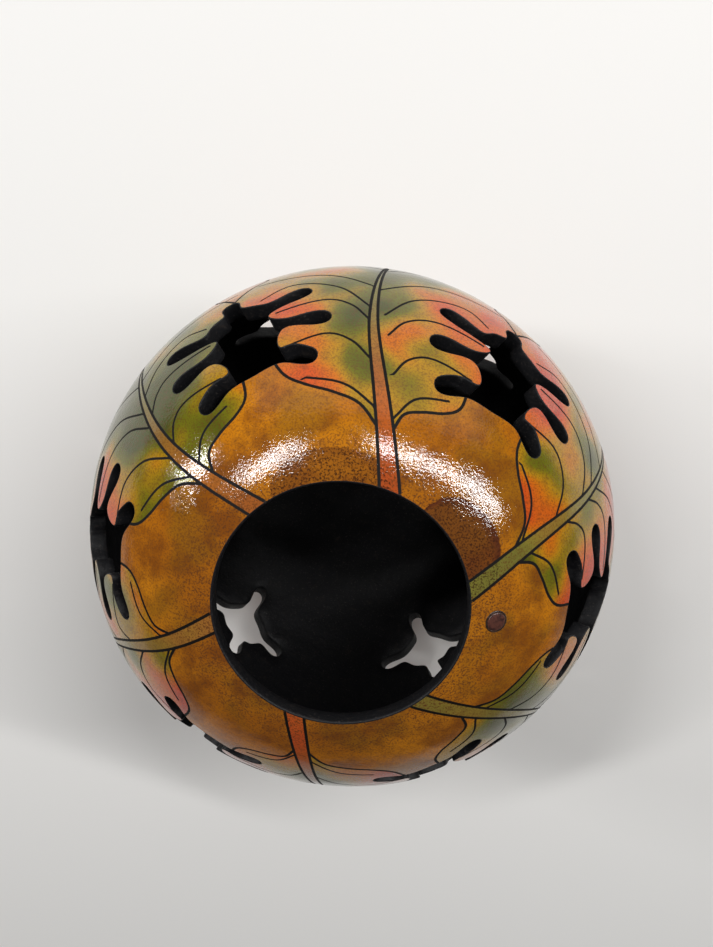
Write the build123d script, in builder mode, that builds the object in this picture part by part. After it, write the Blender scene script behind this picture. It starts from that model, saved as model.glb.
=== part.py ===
from build123d import *
from math import acos, cos, radians, sin
import os

# A gourd bowl: a dried gourd sawn open at the top, with windows sawn through its wall between
# the leaves of a ring that is burned round the mouth, and a small dowel plug glued in beside the rim.
# The flat of the base lies on z = 0, the gourd's axis is Z and the mouth opens upwards. Millimetres.

# Shell
body_radius = 104.0         # at the belly line, where the gourd is widest
belly_height = 84.0         # from the base up to the belly line
shoulder_height = 89.0      # from the belly line up to the level of the sawn-off crown
base_radius = 32.0          # of the flat that it stands on
crown_radius = 16.0         # where the shoulder's curve would come level
wall = 6.0
mouth_radius = 40.0
rim_round = 0.8             # on the outer edge of the mouth
scar_radius = 5.0           # blossom scar in the middle of the base
scar_depth = 0.8
scar_taper = 40.0           # degrees

# Leaf ring
leaf_count = 6
first_leaf = 90.0           # degrees round the axis from +X
window_sway = 2.0           # degrees that a window strays from its even place
window_tilt = 4.0           # degrees that a window leans in its own plane
stray_step = 2.4            # radians from one window's stray to the next

# Windows. A finger is a slot that reaches out between two lobes of a leaf: (across, up, degrees, length)
# gives its tip from the window's middle, with up towards the mouth, the way it points, and its length
# from tip to root. After each finger, anticlockwise, comes the (across, up) of the leaf lobe beside it.
finger_breadth = 6.5
tip_turns = (-90, -45, 0, 45, 90)   # degrees of the points on the half circle round a finger's tip
upper_polar = 59.0          # degrees from the axis, seen from the middle of the belly line
upper_fingers = (
    (30.0, -14.0, -12.0, 17.0),
    (29.0, 4.0, 8.0, 17.0),
    (21.0, 20.0, 26.0, 10.0),
    (-20.0, 19.0, 152.0, 10.0),
    (-29.0, 3.0, 172.0, 17.0),
    (-26.0, -16.0, 196.0, 15.0),
    (3.0, -28.0, -84.0, 8.0),
)
upper_lobes = (
    (9.5, -5.5),
    (8.5, 12.0),
    (1.0, 17.5),
    (-10.5, 11.5),
    (-9.5, -6.5),
    (-5.0, -17.5),
    (10.0, -17.0),
)
lower_polar = 119.0
lower_fingers = (
    (23.0, 5.0, 14.0, 11.0),
    (3.0, 19.0, 80.0, 9.0),
    (-23.0, 4.0, 168.0, 11.0),
    (-2.0, -20.0, -95.0, 11.0),
)
lower_lobes = (
    (7.0, 9.0),
    (-7.0, 8.5),
    (-7.0, -5.5),
    (7.0, -5.5),
)

# Dowel plug
plug_diameter = 6.35
plug_from_rim = 9.2         # middle of the plug from the edge of the mouth, level
plug_azimuth = 1.6          # degrees round the axis from +X
plug_proud = 0.4
plug_chamfer = 0.5
glue_gap = 0.05             # all round the plug

# Worked out from the sizes above
belly_middle = Vector(0, 0, belly_height)
saw_start = body_radius + wall      # a saw begins outside the wall, and stops short of the far wall
saw_travel = body_radius / 2 + wall
drill_travel = 3 * wall             # from one wall's thickness outside the shell to one inside it


def half_section(inset):
    """Draw half of the gourd's section, inset from the outside: floor, belly, shoulder and axis."""
    floor = Line((0, inset), (base_radius, inset))
    EllipticalCenterArc(
        (base_radius, belly_height),
        body_radius - base_radius - inset,
        belly_height - inset,
        start_angle=270,
        arc_size=90,
    )
    shoulder = EllipticalCenterArc(
        (crown_radius, belly_height),
        body_radius - crown_radius - inset,
        shoulder_height - inset,
        start_angle=0,
        arc_size=90,
    )
    crown = Line(shoulder @ 1, (0, belly_height + shoulder_height - inset))
    Line(crown @ 1, floor @ 0)


def window_points(fingers, lobes):
    """Points of a window's outline: up one side of each finger, round its tip, down, and past a lobe."""
    points = []
    half = finger_breadth / 2
    for (across, up, pointing, length), lobe in zip(fingers, lobes):
        ahead = Vector(cos(radians(pointing)), sin(radians(pointing)))
        left = ahead.rotate(Axis.Z, 90)
        tip = Vector(across, up)
        root = tip - ahead * length
        middle = tip - ahead * half
        points.append(root - left * half)
        for turn in tip_turns:
            points.append(middle + ahead.rotate(Axis.Z, turn) * half)
        points.append(root + left * half)
        points.append(Vector(*lobe))
    return points


def window_plane(number, polar):
    """The plane that a window is sawn from, outside the wall and square to it at the window's middle."""
    stray = sin(stray_step * number)
    azimuth = radians(first_leaf + 360 / leaf_count * (number + 0.5) + window_sway * stray)
    east = Vector(-sin(azimuth), cos(azimuth), 0)
    level = Vector(cos(azimuth), sin(azimuth), 0)
    outward = level * sin(radians(polar)) + Vector(0, 0, cos(radians(polar)))
    plane = Plane(belly_middle + outward * saw_start, x_dir=east, z_dir=outward)
    return plane.rotated((0, 0, window_tilt * cos(stray_step * number)))


def plug_plane():
    """The plane square to the shell where the plug stands, on the outside of the shoulder."""
    reach = mouth_radius + plug_from_rim
    along = acos((reach - crown_radius) / (body_radius - crown_radius))
    height = belly_height + shoulder_height * sin(along)
    azimuth = radians(plug_azimuth)
    out = Vector(cos(azimuth), sin(azimuth), 0)
    normal = out * (shoulder_height * cos(along)) + Vector(0, 0, (body_radius - crown_radius) * sin(along))
    return Plane(out * reach + Vector(0, 0, height), z_dir=normal)


os.makedirs("parts", exist_ok=True)

# The gourd's shell
with BuildPart() as gourd_shell:
    with BuildSketch(Plane.XZ):
        with BuildLine():
            half_section(0)
        make_face()
    revolve(axis=Axis.Z)
    with BuildSketch(Plane.XZ):
        with BuildLine():
            half_section(wall)
        make_face()
    revolve(axis=Axis.Z, mode=Mode.SUBTRACT)

    # Mouth, sawn straight down
    with BuildSketch(Plane.XY.offset(belly_height)):
        Circle(mouth_radius)
    extrude(amount=shoulder_height, mode=Mode.SUBTRACT)
    fillet(gourd_shell.edges().group_by(Axis.Z)[-1], radius=rim_round)

    # Blossom scar
    with BuildSketch(Plane.XY):
        Circle(scar_radius)
    extrude(amount=scar_depth, taper=scar_taper, mode=Mode.SUBTRACT)

    # Windows between the leaves
    for number in range(leaf_count):
        with BuildSketch(window_plane(number, upper_polar)):
            with BuildLine():
                Spline(window_points(upper_fingers, upper_lobes), periodic=True)
            make_face()
        with BuildSketch(window_plane(number, lower_polar)):
            with BuildLine():
                Spline(window_points(lower_fingers, lower_lobes), periodic=True)
            make_face()
    extrude(amount=-saw_travel, mode=Mode.SUBTRACT)

    # Hole for the plug
    with BuildSketch(plug_plane().offset(wall)):
        Circle(plug_diameter / 2 + glue_gap)
    extrude(amount=-drill_travel, mode=Mode.SUBTRACT)
gourd_shell.part.label = "gourd_shell"
export_step(gourd_shell.part, "parts/gourd_shell.step")

# The plug, as long as the wall is thick and a little proud of it
with BuildPart() as wood_plug:
    with BuildSketch(plug_plane().offset(plug_proud)):
        Circle(plug_diameter / 2)
    extrude(amount=-(wall + plug_proud))
    plug_axis = Axis(plug_plane().origin, plug_plane().z_dir)
    chamfer(wood_plug.faces().sort_by(plug_axis)[-1].edges(), length=plug_chamfer)
wood_plug.part.label = "wood_plug"
export_step(wood_plug.part, "parts/wood_plug.step")
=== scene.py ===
"""Looks of a carved gourd bowl: burned and dyed leaf ring, sawn windows, painted inside, gloss varnish.

Shapes are worked out in millimetres in the gourd's own frame, and become metres when a mesh is made.
"""
import logging
import math
from dataclasses import dataclass, field
from enum import Enum
from typing import Any, Optional, Sequence, Union

import bpy
import numpy as np
from mathutils import Matrix, Vector
from mathutils.geometry import delaunay_2d_cdt
from mathutils.kdtree import KDTree


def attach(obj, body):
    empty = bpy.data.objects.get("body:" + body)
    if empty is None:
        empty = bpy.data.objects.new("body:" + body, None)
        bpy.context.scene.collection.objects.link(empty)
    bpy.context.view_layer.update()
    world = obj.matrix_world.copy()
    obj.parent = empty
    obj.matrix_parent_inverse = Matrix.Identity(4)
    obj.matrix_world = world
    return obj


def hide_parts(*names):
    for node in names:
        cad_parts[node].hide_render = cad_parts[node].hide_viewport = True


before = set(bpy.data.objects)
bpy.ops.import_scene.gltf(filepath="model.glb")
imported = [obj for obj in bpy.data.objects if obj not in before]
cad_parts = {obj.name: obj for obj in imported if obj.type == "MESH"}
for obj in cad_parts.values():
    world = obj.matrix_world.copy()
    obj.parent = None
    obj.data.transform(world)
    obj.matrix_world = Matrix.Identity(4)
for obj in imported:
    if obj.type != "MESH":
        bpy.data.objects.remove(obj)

LOG = logging.getLogger("gourd")
MM = 0.001
FULL_TURN = 2.0 * math.pi
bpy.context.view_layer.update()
ROOT_BODY = "root"


class Coat(Enum):
    """Which finish a face of the shell has, as its material slot."""

    VARNISH = 0
    PAINT = 1


def smooth_step(low: float, high: float, values: np.ndarray) -> np.ndarray:
    """Go from 0 at low to 1 at high, level at both ends, where low may be the greater."""
    t = np.clip((values - low) / (high - low), 0.0, 1.0)
    return t * t * (3.0 - 2.0 * t)


def wrapped(turn: np.ndarray) -> np.ndarray:
    """Bring turns, in radians, to within half a turn of zero."""
    return (turn + math.pi) % FULL_TURN - math.pi


def level_axes(azimuth: float) -> tuple[np.ndarray, np.ndarray]:
    """Give the level directions out from the axis and eastwards round it, at an azimuth in radians."""
    out = np.array([math.cos(azimuth), math.sin(azimuth), 0.0])
    return out, np.array([-out[1], out[0], 0.0])


def search_tree(points: np.ndarray) -> KDTree:
    """Give a tree that finds the nearest of some points in space.

    Args:
        points: The points, one row each.

    Returns:
        The tree, whose finds give a point's row.
    """
    tree = KDTree(len(points))
    for i, point in enumerate(points):
        tree.insert(point, i)
    tree.balance()
    return tree


def closed_curve(points: np.ndarray, step: float) -> np.ndarray:
    """Cut a smooth closed line through points into even steps.

    Args:
        points: Points in order round the line, one row each.
        step: Distance between the points that come back.

    Returns:
        Points along the line, one row each, with the first not repeated.
    """
    count = len(points)
    ahead = np.roll(points, -1, axis=0)
    span = np.linalg.norm(ahead - points, axis=1)
    rise = (ahead - points) / span[:, None]
    system = np.zeros((count, count))
    for i in range(count):
        system[i, i - 1] = span[i - 1]
        system[i, i] = 2.0 * (span[i - 1] + span[i])
        system[i, (i + 1) % count] = span[i]
    bend = np.linalg.solve(system, 6.0 * (rise - np.roll(rise, 1, axis=0)))
    bend_ahead = np.roll(bend, -1, axis=0)
    line = []
    for i in range(count):
        parts = max(1, round(span[i] / step))
        for t in np.arange(parts) / parts * span[i]:
            slope = rise[i] - span[i] * (2.0 * bend[i] + bend_ahead[i]) / 6.0
            cubic = (bend_ahead[i] - bend[i]) / (6.0 * span[i])
            line.append(points[i] + slope * t + bend[i] / 2.0 * t**2 + cubic * t**3)
    return np.array(line)


def open_curve(points: Sequence[Sequence[float]], step: float) -> np.ndarray:
    """Cut a smooth open line through points into even steps.

    Args:
        points: Points in order along the line.
        step: Distance between the points that come back.

    Returns:
        Points along the line, one row each, ends included.
    """
    given = np.array(points, dtype=float)
    padded = np.vstack([2.0 * given[0] - given[1], given, 2.0 * given[-1] - given[-2]])
    line = []
    for i in range(1, len(padded) - 2):
        before, start, end, after = padded[i - 1 : i + 3]
        parts = max(2, math.ceil(np.linalg.norm(end - start) / step))
        for t in np.arange(parts) / parts:
            square = 2.0 * before - 5.0 * start + 4.0 * end - after
            cube = 3.0 * start - before - 3.0 * end + after
            line.append(0.5 * (2.0 * start + (end - before) * t + square * t**2 + cube * t**3))
    line.append(given[-1])
    return np.array(line)


@dataclass(frozen=True)
class GourdForm:
    """The gourd's section, turned about Z, in millimetres.

    A wave of the swell is (share, waves round the girth, phase, twist with height).
    """

    body_radius: float = 104.0
    belly_height: float = 84.0
    shoulder_height: float = 89.0
    base_radius: float = 32.0
    crown_radius: float = 16.0
    wall: float = 6.0
    mouth_radius: float = 40.0
    rim_round: float = 0.8
    scar_radius: float = 5.0
    scar_depth: float = 0.8
    swell: float = 0.9
    swell_waves: tuple = ((0.50, 2.0, 0.7, 0.0), (0.28, 3.0, 2.1, 1.5), (0.22, 5.0, -0.4, 4.0))
    swell_heights: tuple = (2.0, 40.0)
    arc_samples: int = 900
    floor_samples: int = 200

    @property
    def middle(self) -> np.ndarray:
        """The middle of the belly line."""
        return np.array([0.0, 0.0, self.belly_height])

    def line(self, inset: float, mouth_gap: float) -> tuple[np.ndarray, np.ndarray]:
        """Trace the section from the mouth down to the scar in the base.

        Args:
            inset: How far inside the outer skin the line runs.
            mouth_gap: How far from the mouth's wall the line begins.

        Returns:
            Distances from the axis and heights along the line.
        """
        across = self.body_radius - self.crown_radius - inset
        start = math.acos((self.mouth_radius + mouth_gap - self.crown_radius) / across)
        turn = np.linspace(start, 0.0, self.arc_samples)
        high = self.belly_height + (self.shoulder_height - inset) * np.sin(turn)
        shoulder = np.stack([self.crown_radius + across * np.cos(turn), high])
        turn = np.linspace(0.0, math.pi / 2, self.arc_samples)[1:]
        rho = self.base_radius + (self.body_radius - self.base_radius - inset) * np.cos(turn)
        belly = np.stack([rho, self.belly_height - (self.belly_height - inset) * np.sin(turn)])
        rho = np.linspace(self.base_radius, self.scar_radius, self.floor_samples)[1:]
        floor = np.stack([rho, np.full_like(rho, inset)])
        rho, height = np.hstack([shoulder, belly, floor])
        return rho, height

    def holds(self, points: np.ndarray, inset: float) -> np.ndarray:
        """Tell which points lie inside the gourd's skin, or inside a skin that is inset from it.

        Args:
            points: Points in space, one row each.
            inset: How far inside the outer skin the skin lies.

        Returns:
            True for each point inside.
        """
        rho = np.hypot(points[:, 0], points[:, 1])
        up = points[:, 2] - self.belly_height
        shoulder = (self.crown_radius, self.shoulder_height)
        belly = (self.base_radius, self.belly_height)
        halves = []
        for middle, high in (shoulder, belly):
            out = np.maximum(rho - middle, 0.0) / (self.body_radius - middle - inset)
            halves.append(out**2 + (up / (high - inset)) ** 2)
        return np.where(up > 0.0, *halves) < 1.0

    def grown(self, points: np.ndarray) -> np.ndarray:
        """Give points the uneven swell of a gourd that grew, always inwards and never at the base.

        Args:
            points: Points in space, one row each.

        Returns:
            The points where they end up.
        """
        from_middle = points - self.middle
        outward = from_middle / np.linalg.norm(from_middle, axis=1)[:, None]
        azimuth = np.arctan2(points[:, 1], points[:, 0])
        girth = np.hypot(outward[:, 0], outward[:, 1])
        wave = np.zeros(len(points))
        for share, count, phase, twist in self.swell_waves:
            wave = wave + share * np.sin(count * azimuth + phase + twist * outward[:, 2]) * girth
        depth = self.swell * 0.5 * (wave - 1.0) * smooth_step(*self.swell_heights, points[:, 2])
        return points + outward * depth[:, None]


@dataclass
class Skin:
    """One skin of the gourd, laid flat without changing angles: azimuth across, stretched depth down.

    It lies inset from the outer skin, and begins a gap away from the mouth's wall.
    """

    form: GourdForm
    inset: float
    mouth_gap: float
    halvings: int = 48

    def __post_init__(self) -> None:
        """Measure the skin's line from the mouth to the base."""
        self.rho, self.height = self.form.line(self.inset, self.mouth_gap)
        step = np.hypot(np.diff(self.rho), np.diff(self.height))
        self.run = np.concatenate([[0.0], np.cumsum(step)])
        mean_rho = 0.5 * (self.rho[1:] + self.rho[:-1])
        self.stretch = np.concatenate([[0.0], np.cumsum(step / mean_rho)])
        self.polar = np.arctan2(self.rho, self.height - self.form.belly_height)

    def run_of(self, points: np.ndarray) -> np.ndarray:
        """Give how far down the skin from the mouth each point lies."""
        rho = np.hypot(points[:, 0], points[:, 1])
        return np.interp(np.arctan2(rho, points[:, 2] - self.form.belly_height), self.polar, self.run)

    def rho_at(self, run: np.ndarray) -> np.ndarray:
        """Give the distance from the axis at a run down the skin."""
        return np.interp(run, self.run, self.rho)

    def flat(self, azimuth: np.ndarray, run: np.ndarray) -> np.ndarray:
        """Lay azimuths and runs out as flat points."""
        return np.stack([azimuth, -np.interp(run, self.run, self.stretch)], axis=1)

    def solid(self, flat: np.ndarray) -> np.ndarray:
        """Fold flat points back on to the gourd.

        Args:
            flat: Flat points, one row each.

        Returns:
            The points in space, one row each.
        """
        rho = np.interp(-flat[:, 1], self.stretch, self.rho)
        height = np.interp(-flat[:, 1], self.stretch, self.height)
        return np.stack([rho * np.cos(flat[:, 0]), rho * np.sin(flat[:, 0]), height], axis=1)

    def met_along(self, starts: np.ndarray, way: np.ndarray) -> np.ndarray:
        """Find where straight lines out of the gourd meet this skin.

        Args:
            starts: Points inside the gourd, one row each.
            way: The direction that all the lines take.

        Returns:
            The points on the skin, one row each.
        """
        near = np.zeros(len(starts))
        far = np.full(len(starts), 2.0 * self.form.body_radius)
        for _ in range(self.halvings):
            half = 0.5 * (near + far)
            inside = self.form.holds(starts + half[:, None] * way, self.inset)
            near = np.where(inside, half, near)
            far = np.where(inside, far, half)
        return starts + near[:, None] * way


@dataclass(frozen=True)
class SawnWindow:
    """A window sawn through the wall, between two leaves or for the plug, in its own plane."""

    outline: np.ndarray
    across: np.ndarray
    up: np.ndarray
    outward: np.ndarray
    origin: np.ndarray

    def lay(self, flat: np.ndarray) -> np.ndarray:
        """Give the points in space of points in the window's plane through its origin."""
        return self.origin + flat[:, :1] * self.across + flat[:, 1:] * self.up

    def read(self, points: np.ndarray) -> np.ndarray:
        """Give points in space as points in the window's plane."""
        return np.stack([(points - self.origin) @ self.across, (points - self.origin) @ self.up], axis=1)


@dataclass(frozen=True)
class WindowSet:
    """The windows' outlines and places. Sizes in millimetres, angles in degrees.

    A finger is (across, up, way it points, length): its tip from the window's middle, with up towards
    the mouth. After each finger comes the (across, up) of the leaf lobe beside it, anticlockwise.
    """

    leaf_count: int = 6
    first_leaf: float = 90.0
    sway: float = 2.0
    tilt: float = 4.0
    stray_step: float = 2.4
    finger_breadth: float = 6.5
    tip_turns: tuple = (-90.0, -45.0, 0.0, 45.0, 90.0)
    outline_step: float = 1.0
    upper_polar: float = 59.0
    upper_fingers: tuple = (
        (30.0, -14.0, -12.0, 17.0),
        (29.0, 4.0, 8.0, 17.0),
        (21.0, 20.0, 26.0, 10.0),
        (-20.0, 19.0, 152.0, 10.0),
        (-29.0, 3.0, 172.0, 17.0),
        (-26.0, -16.0, 196.0, 15.0),
        (3.0, -28.0, -84.0, 8.0),
    )
    upper_lobes: tuple = (
        (9.5, -5.5),
        (8.5, 12.0),
        (1.0, 17.5),
        (-10.5, 11.5),
        (-9.5, -6.5),
        (-5.0, -17.5),
        (10.0, -17.0),
    )
    lower_polar: float = 119.0
    lower_fingers: tuple = (
        (23.0, 5.0, 14.0, 11.0),
        (3.0, 19.0, 80.0, 9.0),
        (-23.0, 4.0, 168.0, 11.0),
        (-2.0, -20.0, -95.0, 11.0),
    )
    lower_lobes: tuple = ((7.0, 9.0), (-7.0, 8.5), (-7.0, -5.5), (7.0, -5.5))

    def outline(self, fingers: tuple, lobes: tuple) -> np.ndarray:
        """Draw a window's outline past its fingers and lobes.

        Args:
            fingers: The window's fingers, anticlockwise.
            lobes: The leaf lobe after each finger.

        Returns:
            Points round the outline, one row each.
        """
        half = self.finger_breadth / 2.0
        points = []
        for (across, up, pointing, length), lobe in zip(fingers, lobes):
            way = math.radians(pointing)
            ahead = np.array([math.cos(way), math.sin(way)])
            left = np.array([-ahead[1], ahead[0]])
            tip = np.array([across, up])
            root = tip - ahead * length
            middle = tip - ahead * half
            points.append(root - left * half)
            for turn in np.radians(self.tip_turns):
                points.append(middle + (ahead * math.cos(turn) + left * math.sin(turn)) * half)
            points.append(root + left * half)
            points.append(np.array(lobe))
        return closed_curve(np.array(points), self.outline_step)

    def azimuth(self, number: int) -> float:
        """Give the azimuth of a window's middle, in radians."""
        even = self.first_leaf + 360.0 / self.leaf_count * (number + 0.5)
        return math.radians(even + self.sway * math.sin(self.stray_step * number))

    def window(self, form: GourdForm, number: int, upper: bool) -> SawnWindow:
        """Place one window on the gourd.

        Args:
            form: The gourd's section.
            number: Which of the ring's windows it is.
            upper: Whether it is in the ring above the belly line.

        Returns:
            The window in its plane.
        """
        polar = math.radians(self.upper_polar if upper else self.lower_polar)
        level, east = level_axes(self.azimuth(number))
        outward = level * math.sin(polar) + np.array([0.0, 0.0, math.cos(polar)])
        north = np.cross(outward, east)
        tilt = math.radians(self.tilt * math.cos(self.stray_step * number))
        fingers = self.upper_fingers if upper else self.lower_fingers
        lobes = self.upper_lobes if upper else self.lower_lobes
        return SawnWindow(
            outline=self.outline(fingers, lobes),
            across=east * math.cos(tilt) + north * math.sin(tilt),
            up=north * math.cos(tilt) - east * math.sin(tilt),
            outward=outward,
            origin=form.middle,
        )


@dataclass(frozen=True)
class PlugSeat:
    """Where the dowel plug stands beside the mouth, in millimetres and degrees."""

    diameter: float = 6.35
    from_rim: float = 9.2
    azimuth: float = 1.6
    proud: float = 0.4
    glue_gap: float = 0.05
    hole_sides: int = 40
    drilled_walls: float = 3.0

    def axes(self, form: GourdForm) -> tuple[np.ndarray, np.ndarray, np.ndarray, np.ndarray]:
        """Find the plug's seat.

        Args:
            form: The gourd's section.

        Returns:
            The plug's foot on the skin and its east, north and outward directions.
        """
        reach = form.mouth_radius + self.from_rim
        across = form.body_radius - form.crown_radius
        along = math.acos((reach - form.crown_radius) / across)
        level, east = level_axes(math.radians(self.azimuth))
        foot = level * reach
        foot[2] = form.belly_height + form.shoulder_height * math.sin(along)
        outward = level * (form.shoulder_height * math.cos(along))
        outward[2] = across * math.sin(along)
        outward = outward / np.linalg.norm(outward)
        return foot, east, np.cross(outward, east), outward

    def window(self, form: GourdForm) -> SawnWindow:
        """Give the plug's drilled hole as a round window.

        Args:
            form: The gourd's section.

        Returns:
            The hole, with its plane a few walls' thickness below the skin.
        """
        foot, east, north, outward = self.axes(form)
        radius = self.diameter / 2.0 + self.glue_gap
        turns = np.linspace(0.0, FULL_TURN, self.hole_sides, endpoint=False)
        outline = radius * np.stack([np.cos(turns), np.sin(turns)], axis=1)
        return SawnWindow(outline, east, north, outward, foot - outward * self.drilled_walls * form.wall)


@dataclass(frozen=True)
class Stroke:
    """A burned line on the outer skin: azimuths in radians, runs from the mouth in millimetres."""

    azimuth: np.ndarray
    run: np.ndarray
    half_width: float


@dataclass(frozen=True)
class LeafRing:
    """A ring of lobed autumn leaves, stems at the mouth and tips below, between the windows.

    Places on a leaf are (across, run): millimetres from its midrib and down the skin from the mouth.
    A plain vein is (run at the midrib, across at its end, run at its end). A vein into a lobe beside a
    window passes a gate between two of the window's fingers and ends in the lobe, both as (across, up) in
    the window's plane. A stray of the hand is (size, turn from leaf to leaf, turn from side to side). A
    painted dark reflection beside the mouth, a darker brown patch, is (azimuth, half its spread, depth,
    strength). Turns are radians, azimuths degrees.
    """

    windows: WindowSet = field(default_factory=WindowSet)

    # Midribs
    stem_lean: float = -14.0
    lean_fade: float = 22.0
    midrib_sway: float = 2.5
    sway_length: float = 35.0
    sway_phase: float = 1.9
    sway_start: float = 60.0
    rib_half: float = 3.05
    rib_taper: float = 1.6
    rib_tip: float = 0.3
    rib_length: float = 125.0
    twin_until: float = 114.0
    tip_run: float = 207.0

    # Burned lines
    line_half: float = 0.6
    vein_half: float = 0.5
    stroke_step: float = 1.1
    shoulder_edge: tuple = (
        (2.6, 18.0), (7.0, 24.0), (14.0, 27.0), (22.0, 30.0), (28.5, 35.0), (33.0, 44.5),
    )
    tip_edge: tuple = (
        (37.0, 186.0), (30.0, 190.5), (22.0, 191.5), (14.0, 196.0), (7.0, 202.0), (0.3, 207.0),
    )
    belly_west: tuple = (
        (3.0, 86.0), (-2.0, 95.0), (-9.0, 104.0), (-5.5, 112.0), (-3.0, 119.0),
        (-5.0, 126.0), (-9.0, 134.0), (-3.0, 143.0), (3.0, 151.0),
    )
    belly_east: tuple = (
        (3.0, 86.0), (8.0, 95.0), (13.0, 104.0), (9.0, 112.0), (5.0, 119.0),
        (8.0, 127.0), (12.0, 135.0), (8.0, 143.0), (3.0, 151.0),
    )
    veins: tuple = (
        (23.0, 23.0, 34.0), (78.0, 46.0, 96.0), (101.0, 46.0, 119.0), (124.0, 44.0, 142.0),
        (181.0, 15.0, 191.0),
    )
    upper_lobe_veins: tuple = (
        ((-25.5, 11.0), (-13.0, 11.5)), ((-29.5, -6.5), (-12.5, -6.5)), ((-21.0, -23.5), (-8.5, -19.0)),
        ((25.5, 12.0), (11.5, 12.2)), ((29.5, -5.0), (12.5, -5.5)), ((23.0, -22.5), (13.0, -18.0)),
    )
    lower_lobe_veins: tuple = (
        ((-19.0, 12.5), (-9.5, 9.8)), ((-19.5, -9.5), (-9.5, -7.0)),
        ((19.0, 13.5), (9.5, 10.5)), ((19.5, -9.5), (9.5, -7.0)),
    )
    vein_rise: float = 0.62
    vein_bend: tuple = (0.42, 0.66)
    vein_stray: tuple = (1.5, 2.0, 1.0)
    edge_stretch: tuple = (0.05, 2.3, 1.0)
    edge_drop: tuple = (1.6, 1.3, 2.0)
    edge_reach: float = 33.0
    edge_ripple: float = 0.8
    ripple_turn: float = 3.0

    # Dye, varnish and the painted dark reflections beside the mouth
    tones: tuple = (0.02, -0.14, 0.10, 0.16, -0.06, 0.06)
    stem_reds: tuple = (1.0, 0.7, 0.25, 1.0, 0.1, 0.0)
    dark_reflections: tuple = ((102.0, 26.0, 10.5, 0.6), (36.0, 23.0, 14.0, 1.0))
    reflection_fade: float = 4.0
    crinkle_azimuth: float = 156.0
    crinkle_run: float = 20.0
    crinkle_size: float = 4.5
    crinkle_core: float = 0.35
    crinkle_squash: float = 0.7

    def midrib(self, leaf: int, run: np.ndarray) -> np.ndarray:
        """Give the azimuth of a leaf's midrib.

        Args:
            leaf: Which leaf of the ring it is.
            run: How far down the skin from the mouth.

        Returns:
            Azimuths in radians, one for each run.
        """
        even = math.radians(self.windows.first_leaf + 360.0 / self.windows.leaf_count * leaf)
        lean = self.stem_lean * np.exp(-run / self.lean_fade)
        sway = self.midrib_sway * np.sin(run / self.sway_length + self.sway_phase * leaf)
        return even + np.radians(lean + sway * smooth_step(0.0, self.sway_start, run))

    def rib_width(self, run: np.ndarray) -> np.ndarray:
        """Give half the midrib's width at a run down the skin."""
        left = np.clip(1.0 - run / self.rib_length, 0.0, 1.0)
        return self.rib_tip + self.rib_half * left**self.rib_taper

    def on_leaf(self, skin: Skin, leaf: int, line: np.ndarray, half_width: float) -> Stroke:
        """Lay a line of (across, run) places on a leaf."""
        run = line[:, 1]
        return Stroke(self.midrib(leaf, run) + line[:, 0] / skin.rho_at(run), run, half_width)

    @staticmethod
    def stray(wave: tuple, leaf: int, side: float) -> float:
        """Give a stray of the hand on one side of a leaf."""
        size, by_leaf, by_side = wave
        return size * math.sin(by_leaf * leaf + by_side * side)

    def edge_line(self, leaf: int, side: float, edge: Sequence[Sequence[float]]) -> np.ndarray:
        """Draw one edge of a leaf, which strays a little from leaf to leaf, as a hand does.

        Args:
            leaf: Which leaf of the ring it is.
            side: 1 east of the midrib, and -1 west of it.
            edge: The edge's even (across, run) places.

        Returns:
            Points along the edge as (across, run) places.
        """
        places = np.array(edge, dtype=float)
        out = places[:, 0] / self.edge_reach
        across = side * places[:, 0] * (1.0 + self.stray(self.edge_stretch, leaf, side))
        ripple = self.edge_ripple * np.sin(self.ripple_turn * out + leaf)
        run = places[:, 1] + out * (self.stray(self.edge_drop, leaf, side) + ripple)
        return open_curve(np.stack([across, run], axis=1), self.stroke_step)

    def vein(self, start: float, side: float, ends: Sequence[Sequence[float]]) -> np.ndarray:
        """Draw a side vein that leaves the midrib and bends out.

        Args:
            start: The run at which it leaves the midrib.
            side: 1 east of the midrib, and -1 west of it.
            ends: The (across, run) places that it passes and ends at.

        Returns:
            Points along the vein as (across, run) places.
        """
        rib = float(self.rib_width(np.array(start)))
        across, run = ends[0]
        out, down = self.vein_bend
        bend = (side * (rib + out * (abs(across) - rib)), start + down * (run - start))
        return open_curve([(side * (rib + self.line_half), start), bend, *ends], self.stroke_step)

    def lobe_veins(self, skin: Skin, number: int, upper: bool) -> list[Stroke]:
        """Draw the veins into the leaf lobes that one window leaves standing.

        Args:
            skin: The outer skin.
            number: Which of the ring's windows it is.
            upper: Whether it is in the ring above the belly line.

        Returns:
            The veins, on the leaves to both sides of the window.
        """
        saw = self.windows.window(skin.form, number, upper)
        made = []
        for pair in self.upper_lobe_veins if upper else self.lower_lobe_veins:
            solid = skin.met_along(saw.lay(np.array(pair)), saw.outward)
            run = skin.run_of(solid)
            leaf = number if pair[0][0] < 0.0 else number + 1
            turn = np.arctan2(solid[:, 1], solid[:, 0]) - self.midrib(leaf, run)
            across = wrapped(turn) * skin.rho_at(run)
            start = run[0] - self.vein_rise * abs(across[0])
            line = self.vein(start, math.copysign(1.0, across[0]), np.stack([across, run], axis=1))
            made.append(self.on_leaf(skin, leaf, line, self.vein_half))
        return made

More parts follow.
